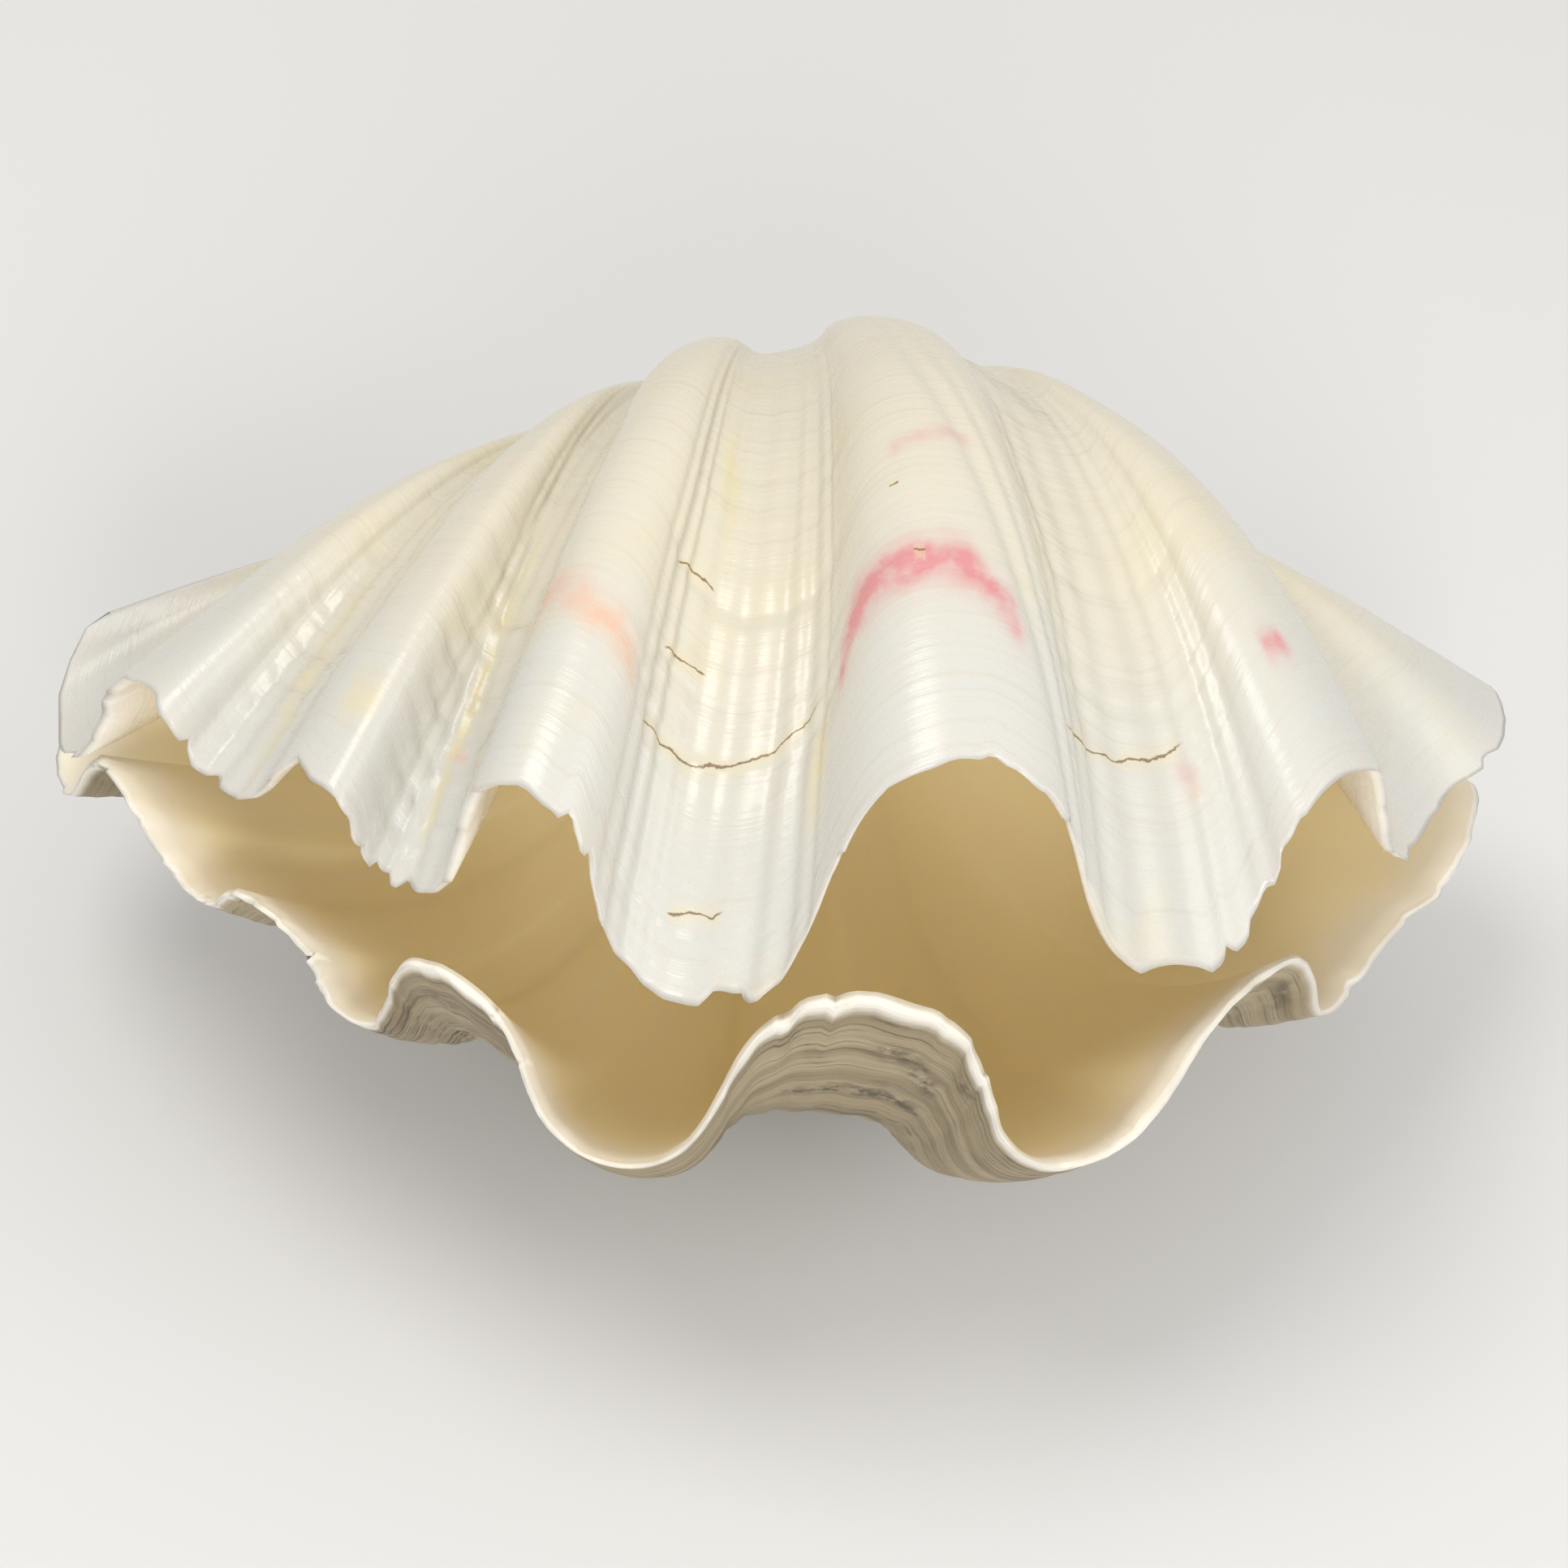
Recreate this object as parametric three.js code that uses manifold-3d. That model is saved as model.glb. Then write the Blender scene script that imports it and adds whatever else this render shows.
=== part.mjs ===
// Fluted giant clam: both valves of one shell, open a little and lying on the lower valve.
// Millimetres, +Z up. The hinge is at the back (+Y), the folded free edges open to the front (-Y).
import * as THREE from 'three';
import { mergeVertices } from 'three/addons/utils/BufferGeometryUtils.js';
import Module from 'manifold-3d';

const wasm = await Module();
wasm.setup();

// Plain outline of a valve, seen square to the plane in which the two valves meet.
const leftReach = 130;
const rightReach = 108;
const outlineDepth = 151;
const widestBehind = 33;
const hingeSetBack = 7;
const frontFullness = 1.25;
const backFullness = 1.4;

// Folds of the free edge from the left end to the right, hollow and crest of the upper valve in turn.
// The lower valve has the same edge, so the two interlock when the shell is shut.
// angle is in degrees round the outline from the middle of the front, lift is the height out of the
// meeting plane and reach the distance past the plain outline.
const folds = [
  { angle: -80, lift: -15, reach: 4 },
  { angle: -61, lift: 11, reach: 2 },
  { angle: -56, lift: 0, reach: -2 },
  { angle: -44, lift: 13, reach: -2 },
  { angle: -39, lift: -4, reach: -8 },
  { angle: -29, lift: 25, reach: -3 },
  { angle: -17, lift: -8, reach: -9 },
  { angle: 0, lift: 37, reach: -11 },
  { angle: 23, lift: 1, reach: -4 },
  { angle: 37, lift: 26, reach: -4 },
  { angle: 56, lift: -2, reach: -1 },
  { angle: 78, lift: 5, reach: 9 },
  { angle: 105, lift: -18, reach: 8 },
];
const foldSteepness = 0.55;
const endFoldWidth = 22;
const plainBackAngle = 145;

// A valve grows as a coil from the beak at the hinge, so every growth stage is the edge made
// smaller and turned back. Growth runs from 0 at the beak to 1 at the edge.
const coilTurn = 212;
const coilPower = 2.4;
const foldFade = 1;
const insideFoldFade = 2;

// Wall: thin at the free edge, thicker half way up and thickest at the hinge.
const lipThickness = 2;
const squareToWall = 0.6;
const middleThickening = 5.5;
const hingePlate = 13;
const plateFrom = 125;
const plateFull = 165;
const cavitySetBack = 10;

// Pose of the upper valve against the lower one, in degrees and mm.
const opening = 12.5;
const upperTwist = 4.5;
const upperLean = 0.3;
const upperShift = new THREE.Vector3(-1.2, -0.6, 5.3);

// Dried ligament between the two hinge plates.
const ligamentLength = 88;
const ligamentWidth = 20;
const ligamentCentre = new THREE.Vector2(-12, -11);
const ligamentBulge = 1.6;
const fitGap = 0.35;

// The pair rests on the crests of the lower valve, which are worn flat where they touch the floor.
const restPitch = -11;
const restRoll = 3;
const wornDepth = 1.2;

const foldSteps = 6;
const endSteps = 4;
const backSteps = 5;
const outerRows = 12;
const innerRows = 9;

const rad = THREE.MathUtils.degToRad;
const smooth = THREE.MathUtils.smoothstep;
const firstFold = folds[0];
const lastFold = folds[folds.length - 1];
const highestLift = Math.max(...folds.map((fold) => fold.lift));
const lowestLift = Math.min(...folds.slice(1).map((fold) => fold.lift));

function plain(angle) {
  return { angle, lift: 0, reach: 0 };
}

// Places along one stretch of the edge between two turning points.
function stretch(from, to, steps, steepness) {
  const places = [];
  for (let i = 0; i < steps; i += 1) {
    const t = i / steps;
    const along = t + steepness * Math.sin(2 * Math.PI * t) / (2 * Math.PI);
    const rise = (1 - Math.cos(Math.PI * t)) / 2;
    places.push({
      angle: THREE.MathUtils.lerp(from.angle, to.angle, along),
      lift: THREE.MathUtils.lerp(from.lift, to.lift, rise),
      reach: THREE.MathUtils.lerp(from.reach, to.reach, rise),
    });
  }
  return places;
}

// The whole edge, from the middle of the hinge round the left, the front and the right.
function edgePlaces() {
  const leftEnd = plain(firstFold.angle - endFoldWidth);
  const rightEnd = plain(lastFold.angle + endFoldWidth);
  const places = [
    ...stretch(plain(-180), plain(-plainBackAngle), backSteps, 0),
    ...stretch(plain(-plainBackAngle), leftEnd, endSteps, 0),
    ...stretch(leftEnd, firstFold, endSteps, 0),
  ];
  for (let i = 0; i + 1 < folds.length; i += 1) {
    places.push(...stretch(folds[i], folds[i + 1], foldSteps, foldSteepness));
  }
  places.push(
    ...stretch(lastFold, rightEnd, endSteps, 0),
    ...stretch(rightEnd, plain(plainBackAngle), endSteps, 0),
    ...stretch(plain(plainBackAngle), plain(180), backSteps, 0),
  );
  return places;
}

// Point of the edge in the meeting plane, pushed out by its reach, at its lift.
function edgePoint(place, lift, reach) {
  const turn = rad(place.angle);
  const forward = Math.cos(turn);
  const x = (place.angle < 0 ? leftReach : rightReach) * Math.sin(turn);
  const front = (outlineDepth - widestBehind) * Math.abs(forward) ** frontFullness;
  const back = (widestBehind - hingeSetBack) * Math.abs(forward) ** backFullness;
  const y = -widestBehind - (forward > 0 ? front : -back);
  const stretchOut = 1 + reach / Math.max(Math.hypot(x, y), 20);
  return new THREE.Vector3(x * stretchOut, y * stretchOut, lift);
}

// Turns a point back about the hinge, side +1 for the upper valve and -1 for the lower.
function turnBack(point, growth, side) {
  const turn = rad(coilTurn) * (1 - growth ** (1 / coilPower));
  return point.applyAxisAngle(new THREE.Vector3(1, 0, 0), -side * turn);
}

function outerPoint(place, growth, side) {
  const fade = growth ** foldFade;
  const point = edgePoint(place, place.lift * fade, place.reach * fade);
  return turnBack(point.multiplyScalar(growth), growth, side);
}

// Level step from the outer edge to the inner edge: the thin lip in front, the broad hinge plate
// behind. The lip goes partly square to the wall and partly square to the outline.
function wallStep(places, i, side) {
  const before = places[(i + places.length - 1) % places.length];
  const after = places[(i + 1) % places.length];
  const along = outerPoint(after, 1, side).sub(outerPoint(before, 1, side));
  const down = outerPoint(places[i], 1, side).sub(outerPoint(places[i], 0.98, side));
  const lip = along.clone().cross(down).multiplyScalar(side).setZ(0).setLength(squareToWall);
  lip.add(new THREE.Vector3(-along.y, along.x, 0).setLength(1 - squareToWall));
  lip.setLength(lipThickness);
  const plate = new THREE.Vector3(0, -hingePlate, 0);
  return lip.lerp(plate, smooth(Math.abs(places[i].angle), plateFrom, plateFull));
}

// The inside follows the same coil from a beak set forward, and its folds fade sooner because the
// crests are filled up from behind.
function innerPoint(place, step, growth, side) {
  const fade = growth ** foldFade;
  const floor = side > 0 ? -lowestLift : highestLift;
  const crest = Math.max(0, side * place.lift + floor * Math.cos(rad(place.angle)));
  const filled = side * crest * (fade - growth ** insideFoldFade);
  const beak = new THREE.Vector3(0, -cavitySetBack, 0);
  const point = edgePoint(place, place.lift * fade - filled, place.reach * fade);
  point.add(step).sub(beak).multiplyScalar(growth);
  const slope = Math.atan(rad(coilTurn) / coilPower * growth ** (1 / coilPower));
  const inward = new THREE.Vector3(-point.x, -point.y, 0).setLength(Math.sin(slope));
  inward.z = -side * Math.cos(slope);
  const front = 1 - smooth(Math.abs(place.angle), 80, 130);
  const swell = growth * (1 - growth ** 8);
  point.addScaledVector(inward, front * middleThickening * swell);
  return turnBack(point, growth, side).add(beak);
}

// Joins two rings of points with triangles that face out.
function joinRings(triangles, ringA, ringB, flip) {
  const count = ringA.length;
  for (let i = 0; i < count; i += 1) {
    const next = (i + 1) % count;
    const corners = [ringA[i], ringA[next], ringB[next], ringB[i]];
    const [a, b, c, d] = flip ? corners.reverse() : corners;
    triangles.push(a, b, c, a, c, d);
  }
}

function valveGeometry(side) {
  const places = edgePlaces();
  const steps = places.map((place, i) => wallStep(places, i, side));
  const rings = [places.map(() => new THREE.Vector3())];
  for (let row = 1; row <= outerRows; row += 1) {
    const growth = (row / outerRows) ** coilPower;
    rings.push(places.map((place) => outerPoint(place, growth, side)));
  }
  for (let row = innerRows; row >= 1; row -= 1) {
    const growth = (row / innerRows) ** coilPower;
    rings.push(places.map((place, i) => innerPoint(place, steps[i], growth, side)));
  }
  rings.push(places.map(() => new THREE.Vector3(0, -cavitySetBack, 0)));
  const triangles = [];
  for (let i = 0; i + 1 < rings.length; i += 1) {
    joinRings(triangles, rings[i], rings[i + 1], side > 0);
  }
  return closedGeometry(triangles);
}

// Welds the corners and drops the triangles that collapse at the beaks.
function closedGeometry(points) {
  const soup = new THREE.BufferGeometry().setFromPoints(points);
  const merged = mergeVertices(soup, 1e-4);
  const kept = [];
  const index = merged.index.array;
  for (let i = 0; i < index.length; i += 3) {
    const [a, b, c] = [index[i], index[i + 1], index[i + 2]];
    if (a !== b && b !== c && c !== a) kept.push(a, b, c);
  }
  merged.setIndex(kept);
  return merged;
}

function toSolid(geometry) {
  const vertProperties = new Float32Array(geometry.attributes.position.array);
  const triVerts = new Uint32Array(geometry.index.array);
  return new wasm.Manifold(new wasm.Mesh({ numProp: 3, vertProperties, triVerts }));
}

function toGeometry(solid) {
  const mesh = solid.getMesh();
  const geometry = new THREE.BufferGeometry();
  geometry.setAttribute('position', new THREE.BufferAttribute(new Float32Array(mesh.vertProperties), 3));
  geometry.setIndex(Array.from(mesh.triVerts));
  return geometry;
}

// A springy pad between the two hinge plates: an oval seen from above, bulging between the plates.
function ligamentGeometry(upperPose) {
  const sides = 32;
  const levels = 4;
  const up = new THREE.Vector3(0, 0, 1).transformDirection(upperPose);
  const through = new THREE.Vector3().setFromMatrixPosition(upperPose);
  const pad = new THREE.CylinderGeometry(1, 1, 1, sides, levels);
  pad.rotateX(Math.PI / 2);
  pad.deleteAttribute('normal');
  pad.deleteAttribute('uv');
  const closed = mergeVertices(pad, 1e-4);
  const spots = closed.attributes.position;
  for (let i = 0; i < spots.count; i += 1) {
    const level = spots.getZ(i) + 0.5;
    const bulge = ligamentBulge * Math.sin(Math.PI * level) * Math.hypot(spots.getX(i), spots.getY(i));
    const x = ligamentCentre.x + spots.getX(i) * (ligamentLength / 2 + bulge);
    const y = ligamentCentre.y + spots.getY(i) * (ligamentWidth / 2 + bulge);
    const roof = through.z - ((x - through.x) * up.x + (y - through.y) * up.y) / up.z;
    spots.setXYZ(i, x, y, fitGap + level * (roof - 2 * fitGap));
  }
  return closed;
}

function piece(name, geometry, colour, roughness) {
  geometry.computeVertexNormals();
  const material = new THREE.MeshStandardMaterial({ color: colour, roughness, metalness: 0 });
  const mesh = new THREE.Mesh(geometry, material);
  mesh.name = name;
  return mesh;
}

// Cuts the crests of the lower valve level at the floor, the worn depth above their lowest point.
function wearFlat(geometry, pose) {
  const down = new THREE.Vector3(0, 0, 1).transformDirection(pose.clone().invert());
  const spots = geometry.attributes.position;
  const heights = Array.from({ length: spots.count }, (_, i) => (
    new THREE.Vector3().fromBufferAttribute(spots, i).dot(down)
  ));
  const floor = Math.min(...heights) + wornDepth;
  return { floor, worn: toGeometry(toSolid(geometry).trimByPlane(down.toArray(), floor)) };
}

const pair = new THREE.Group();
pair.rotation.set(rad(restPitch), rad(restRoll), 0);
pair.updateMatrix();

const upperValve = piece('upper_valve', valveGeometry(1), 0xefece2, 0.25);
upperValve.rotation.set(-rad(opening), rad(upperLean), rad(upperTwist), 'ZYX');
upperValve.position.copy(upperShift);
upperValve.updateMatrix();

const { floor, worn } = wearFlat(valveGeometry(-1), pair.matrix);
const lowerValve = piece('lower_valve', worn, 0xd9c79c, 0.35);
const ligament = piece('hinge_ligament', ligamentGeometry(upperValve.matrix), 0x4a3222, 0.7);

pair.add(lowerValve, upperValve, ligament);

// The pair stands on the floor with its middle over the origin.
const clam = new THREE.Group();
clam.add(pair);
const middle = new THREE.Box3().setFromObject(pair, true).getCenter(new THREE.Vector3());
pair.position.set(-middle.x, -middle.y, -floor);

export default clam;
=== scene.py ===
import math

import bpy
import numpy as np
from mathutils import Euler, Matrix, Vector


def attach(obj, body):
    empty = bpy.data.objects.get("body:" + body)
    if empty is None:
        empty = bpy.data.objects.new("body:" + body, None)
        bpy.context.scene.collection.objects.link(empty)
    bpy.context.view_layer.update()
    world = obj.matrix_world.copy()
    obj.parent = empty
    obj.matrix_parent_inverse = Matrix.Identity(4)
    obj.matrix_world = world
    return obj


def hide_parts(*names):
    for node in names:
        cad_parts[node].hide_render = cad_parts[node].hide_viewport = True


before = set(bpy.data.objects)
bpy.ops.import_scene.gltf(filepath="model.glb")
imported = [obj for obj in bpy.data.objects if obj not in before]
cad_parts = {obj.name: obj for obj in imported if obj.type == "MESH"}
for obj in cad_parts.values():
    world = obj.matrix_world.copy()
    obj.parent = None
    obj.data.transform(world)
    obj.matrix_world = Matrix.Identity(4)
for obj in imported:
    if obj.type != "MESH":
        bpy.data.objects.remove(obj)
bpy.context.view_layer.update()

millimetre = 0.001
lipMap = (0.4985, 0.5015)    # the free edge in the shells' own map: outside below it, inside above

# the one wavy edge both valves share, lengths in mm and angles in degrees
shell = {
    "leftReach": 130, "rightReach": 108, "depth": 151, "widestBehind": 33, "hingeSetBack": 7,
    "frontFullness": 1.25, "backFullness": 1.4, "steepness": 0.55, "endWidth": 22, "plainBack": 145,
    "leastRadius": 20, "plainKnots": 3,
    "coilTurn": 212, "coilPower": 2.4, "insideFade": 2,
    # wall at the free edge and how square it is cut, swelling behind it, and the plate at the hinge
    "lip": 1.5, "square": 0.6, "thickening": 5.5, "thickFolds": (80, 130), "thickPower": 8,
    "hingePlate": 13, "plateBlend": (125, 165), "cavitySetBack": 10,
    "opening": 12.5, "twist": 4.5, "lean": 0.3, "shift": (-1.2, -0.6, 5.3),
    "restPitch": -11, "restRoll": 3, "place": (7.517, 58.815, 46.838),
    # angle round the front, lift out of the meeting plane, reach past the plain outline
    "folds": [(-80, -15, 4), (-61, 11, 2), (-56, 0, -2), (-44, 13, -2), (-39, -4, -8), (-29, 25, -3),
              (-17, -8, -9), (0, 37, -11), (23, 1, -4), (37, 26, -4), (56, -2, -1), (78, 5, 9),
              (105, -18, 8)],
}

knots = np.array([(-180, 0, 0), (-shell["plainBack"], 0, 0),
                  (shell["folds"][0][0] - shell["endWidth"], 0, 0)] + shell["folds"]
                 + [(shell["folds"][-1][0] + shell["endWidth"], 0, 0), (shell["plainBack"], 0, 0),
                    (180, 0, 0)], float)
lastKnot = len(knots) - 1
pairTurn = Euler((math.radians(shell["restPitch"]), 0, 0)).to_matrix() @ Euler(
    (0, math.radians(shell["restRoll"]), 0)).to_matrix()
upperTurn = Euler((-math.radians(shell["opening"]), math.radians(shell["lean"]),
                   math.radians(shell["twist"]))).to_matrix()


def smooth(x, low, high):
    t = np.clip((x - low) / (high - low), 0, 1)
    return t * t * (3 - 2 * t)


def bump(x, middle, width):
    return np.exp(-((x - middle) / width) ** 2)


def cloud(x, y, seed):
    # soft random hills about one unit across, between -1 and 1
    table = np.random.default_rng(seed).uniform(-1, 1, (64, 64))
    i, j = np.floor(x).astype(int), np.floor(y).astype(int)
    a, b = x - i, y - j
    a, b = a * a * (3 - 2 * a), b * b * (3 - 2 * b)
    p, q = table[i % 64, j % 64], table[(i + 1) % 64, j % 64]
    r, s = table[i % 64, (j + 1) % 64], table[(i + 1) % 64, (j + 1) % 64]
    return (p * (1 - a) + q * a) * (1 - b) + (r * (1 - a) + s * a) * b


# below, side is 1 for the upper valve and -1 for the lower one
# fold counts the turning points of the edge, from the hinge round the left end and the front
# growth runs from 0 at the beak to 1 at the free edge


def edgeValues(fold):
    i = np.clip(np.floor(fold).astype(int), 0, lastKnot - 1)
    t = fold - i
    folded = (i >= shell["plainKnots"]) & (i < lastKnot - shell["plainKnots"])
    steep = np.where(folded, shell["steepness"], 0)
    along = t + steep * np.sin(2 * np.pi * t) / (2 * np.pi)
    rise = (1 - np.cos(np.pi * t)) / 2
    a, b = knots[i], knots[i + 1]
    angle = a[..., 0] + (b[..., 0] - a[..., 0]) * along
    lift = a[..., 1] + (b[..., 1] - a[..., 1]) * rise
    reach = a[..., 2] + (b[..., 2] - a[..., 2]) * rise
    return angle, lift, reach


def edgePoint(angle, lift, reach):
    turn = np.radians(angle)
    forward = np.cos(turn)
    x = np.where(angle < 0, shell["leftReach"], shell["rightReach"]) * np.sin(turn)
    front = (shell["depth"] - shell["widestBehind"]) * np.abs(forward) ** shell["frontFullness"]
    back = (shell["widestBehind"] - shell["hingeSetBack"]) * np.abs(forward) ** shell["backFullness"]
    y = -shell["widestBehind"] - np.where(forward > 0, front, -back)
    out = 1 + reach / np.maximum(np.hypot(x, y), shell["leastRadius"])
    return np.stack(np.broadcast_arrays(x * out, y * out, lift), -1)


def turnBack(points, growth, side):
    turn = -side * np.radians(shell["coilTurn"]) * (1 - growth ** (1 / shell["coilPower"]))
    x, y, z = points[..., 0], points[..., 1], points[..., 2]
    return np.stack([x, y * np.cos(turn) - z * np.sin(turn), y * np.sin(turn) + z * np.cos(turn)], -1)


def outerSurface(fold, growth, side):
    angle, lift, reach = edgeValues(fold)
    points = edgePoint(angle, lift * growth, reach * growth)
    return turnBack(points * growth[..., None], growth, side)


def unit(vectors):
    return vectors / np.maximum(np.linalg.norm(vectors, axis=-1, keepdims=True), 1e-9)


def wallSteps(fold, side):
    # step from the outer to the inner edge: thin lip in front, broad plate at the hinge
    one = np.ones_like(fold)
    along = outerSurface(fold + 0.05, one, side) - outerSurface(fold - 0.05, one, side)
    down = outerSurface(fold, one, side) - outerSurface(fold, one * 0.98, side)
    wall = side * np.cross(along, down) * (1, 1, 0)
    outline = np.stack([-along[..., 1], along[..., 0], one * 0], -1)
    lip = unit(shell["square"] * unit(wall) + (1 - shell["square"]) * unit(outline)) * shell["lip"]
    plate = np.array([0, -shell["hingePlate"], 0])
    share = smooth(np.abs(edgeValues(fold)[0]), *shell["plateBlend"])[..., None]
    return lip * (1 - share) + plate * share


def innerSurface(fold, growth, side, steps):
    angle, lift, reach = edgeValues(fold)
    floor = -knots[4:, 1].min() if side > 0 else knots[:, 1].max()
    crest = np.maximum(0, side * lift + floor * np.cos(np.radians(angle)))
    filled = side * crest * (growth - growth ** shell["insideFade"])
    beak = np.array([0, -shell["cavitySetBack"], 0])
    points = (edgePoint(angle, lift * growth - filled, reach * growth) + steps - beak) * growth[..., None]
    slope = np.arctan(math.radians(shell["coilTurn"]) / shell["coilPower"]
                      * growth ** (1 / shell["coilPower"]))
    flat = unit(points[..., :2])
    inward = np.concatenate([-flat * np.sin(slope)[..., None], (-side * np.cos(slope))[..., None]], -1)
    front = 1 - smooth(np.abs(angle), *shell["thickFolds"])
    swell = growth * (1 - growth ** shell["thickPower"]) * front * shell["thickening"]
    return turnBack(points + inward * swell[..., None], growth, side) + beak


columnSpread = {"samples": 6000, "end": 0.03, "folded": (3, 15.5), "plainWeight": 0.25,
                "ribbed": (5, 7, 9, 11), "ribbedWeight": 0.7, "ribbedWidth": 0.5}


def columnsAround(count, side):
    # columns spread evenly along the edge, closer together in the ribbed hollows
    end = columnSpread["end"]
    fold = np.linspace(end, lastKnot - end, columnSpread["samples"])
    points = outerSurface(fold, np.ones_like(fold), side)
    length = np.r_[0, np.linalg.norm(np.diff(points, axis=0), axis=1)]
    first, last = columnSpread["folded"]
    folded = (fold > first) & (fold < last)
    weight = np.where(folded, 1, columnSpread["plainWeight"])
    for middle in columnSpread["ribbed"]:
        ribbed = bump(fold, middle, columnSpread["ribbedWidth"])
        weight = weight + columnSpread["ribbedWeight"] * ribbed * folded
    total = np.cumsum(length * weight)
    spread = np.interp(np.linspace(0, total[-1], count + 1), total, fold)
    spread[0], spread[-1] = 0, lastKnot
    return spread


def hollow(fold, middle, halfWidth, soft=0.12):
    return smooth(fold, middle - halfWidth - soft, middle - halfWidth + soft) * (
        1 - smooth(fold, middle + halfWidth - soft, middle + halfWidth + soft))


def ledges(growth, fold, marks, width):
    # each growth halt leaves a low step: it swells up to the mark and drops away past it
    height = np.zeros_like(growth)
    for mark, tall, seed in marks:
        gap = mark + 0.004 * cloud(fold * 2.3, fold * 0 + seed, seed) - growth
        shape = np.where(gap > 0, np.exp(-gap / width), np.exp(gap / (width * 0.12)))
        height += tall * shape * (0.65 + 0.35 * cloud(fold * 1.7, fold * 0 + 0.5, seed + 50))
    return height


def growthMarks(count, low, high, tall, seed):
    local = np.random.default_rng(seed)
    places = np.sort(local.uniform(low, high, count))
    return [(p, tall * local.uniform(0.4, 1), seed * 100 + i) for i, p in enumerate(places)]


def displaced(points, height, side):
    along = np.gradient(points, axis=1)
    down = np.gradient(points, axis=0)
    return points + unit(np.cross(down, along) * -side) * height[..., None]


def toWorld(points, side):
    turn = np.array(pairTurn)
    if side > 0:
        points = points @ np.array(upperTurn).T + np.array(shell["shift"])
    return points @ turn.T + np.array(shell["place"])


def setFloats(mesh, name, values):
    layer = mesh.attributes.new(name, "FLOAT", "POINT")
    layer.data.foreach_set("value", np.asarray(values, np.float32).ravel())


weld = {"doubles": 0.00002, "slivers": 0.000005}    # metres


def gridPiece(name, points, u, v, layers):
    # a plain grid takes the shape, then its seam and beaks are welded in edit mode
    rows, columns = points.shape[:2]
    bpy.ops.object.select_all(action="DESELECT")
    bpy.ops.mesh.primitive_grid_add(x_subdivisions=columns - 1, y_subdivisions=rows - 1, size=1)
    piece = bpy.context.object
    piece.name = piece.data.name = name
    mesh = piece.data
    flat = np.empty(len(mesh.vertices) * 3)
    mesh.vertices.foreach_get("co", flat)
    flat = flat.reshape(-1, 3)
    column = np.rint((flat[:, 0] + 0.5) * (columns - 1)).astype(int)
    row = np.rint((flat[:, 1] + 0.5) * (rows - 1)).astype(int)
    mesh.vertices.foreach_set("co", (points[row, column] * millimetre).ravel())
    corner = np.empty(len(mesh.loops), int)
    mesh.loops.foreach_get("vertex_index", corner)
    uvs = np.stack([u[column[corner]], v[row[corner]]], -1)
    mesh.uv_layers[0].name = "shellMap"
    mesh.uv_layers["shellMap"].data.foreach_set("uv", uvs.ravel())
    for layer, values in layers.items():
        setFloats(mesh, layer, values[row, column])
    mesh.update()
    bpy.ops.object.mode_set(mode="EDIT")
    bpy.ops.mesh.select_all(action="SELECT")
    bpy.ops.mesh.remove_doubles(threshold=weld["doubles"])
    bpy.ops.mesh.dissolve_degenerate(threshold=weld["slivers"])
    bpy.ops.mesh.normals_make_consistent(inside=False)
    bpy.ops.object.mode_set(mode="OBJECT")
    bpy.ops.object.shade_smooth()
    return piece


# upper valve: polished outside, so its ridges are low and only the hollows keep their ribs
upper = {
    "columns": 460, "outerRows": 176, "innerRows": 36,
    "ribHeight": 0.2, "ribSpacing": 0.155, "ribHollows": [(5, 0.35), (7, 0.4), (9, 0.43), (11, 0.5)],
    "bandHeight": 0.3, "bandSpacing": 0.0118,
    # fine ridges down the sides of the hollows: fold at growth 0.6, fold at 0.95, width, height
    "ridges": [(8.53, 8.60, 0.035, 0.9), (8.40, 8.46, 0.03, 0.5), (8.64, 8.72, 0.03, 0.4),
               (9.26, 9.27, 0.035, 0.9), (9.38, 9.38, 0.03, 0.6), (9.15, 9.16, 0.03, 0.4),
               (10.0, 10.36, 0.04, 0.8), (10.12, 10.48, 0.03, 0.5), (11.5, 11.5, 0.05, 0.4),
               (6.60, 7.2, 0.05, 0.5), (6.45, 7.0, 0.04, 0.4), (4.62, 4.62, 0.06, 0.5),
               (14.6, 14.6, 0.07, 0.4)],
    "halts": growthMarks(20, 0.42, 0.985, 0.8, 3) + [(0.858, 1.0, 77)], "crestPolish": 0.88,
    # overlapping leaf edges: hollow, half width, growth from and to, count, height
    "leaves": [(7, 0.55, 0.75, 0.97, 7, 0.9), (5, 0.5, 0.78, 0.96, 5, 0.7),
               (13, 0.4, 0.8, 0.96, 4, 0.5)],
    "chip": 3.2, "wander": 0.5, "early": 0.3,
}

# lower valve: rough outside with close growth lines
lower = {
    "columns": 450, "outerRows": 162, "innerRows": 48,
    "ribHeight": 0.16, "ribSpacing": 0.155, "ribHollows": [(6, 0.4), (8, 0.45), (10, 0.5), (12, 0.45)],
    "bandHeight": 0.1, "bandSpacing": 0.008,
    "ridges": [],
    "halts": growthMarks(70, 0.3, 0.992, 0.34, 5), "crestPolish": 0.1,
    "leaves": [], "chip": 3.2, "wander": 0.6, "early": 0.6,
}


def chips(fold, size, seed):
    # scalloped broad bites with small sharp nicks between them
    broad = np.maximum(0, cloud(fold * 2.1, fold * 0 + 9, seed + 1)) * 0.4
    fine = np.abs(cloud(fold * 8, fold * 0 + 3, seed)) * 0.45
    nick = np.maximum(0, cloud(fold * 14, fold * 0 + 5, seed + 2) - 0.45) * 1.3
    bite = np.maximum(0, cloud(fold * 4.3, fold * 0 + 7, seed + 3) - 0.5) * 1.6
    return size * (fine + broad + nick + bite) / (1.8 * shell["depth"])


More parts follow.
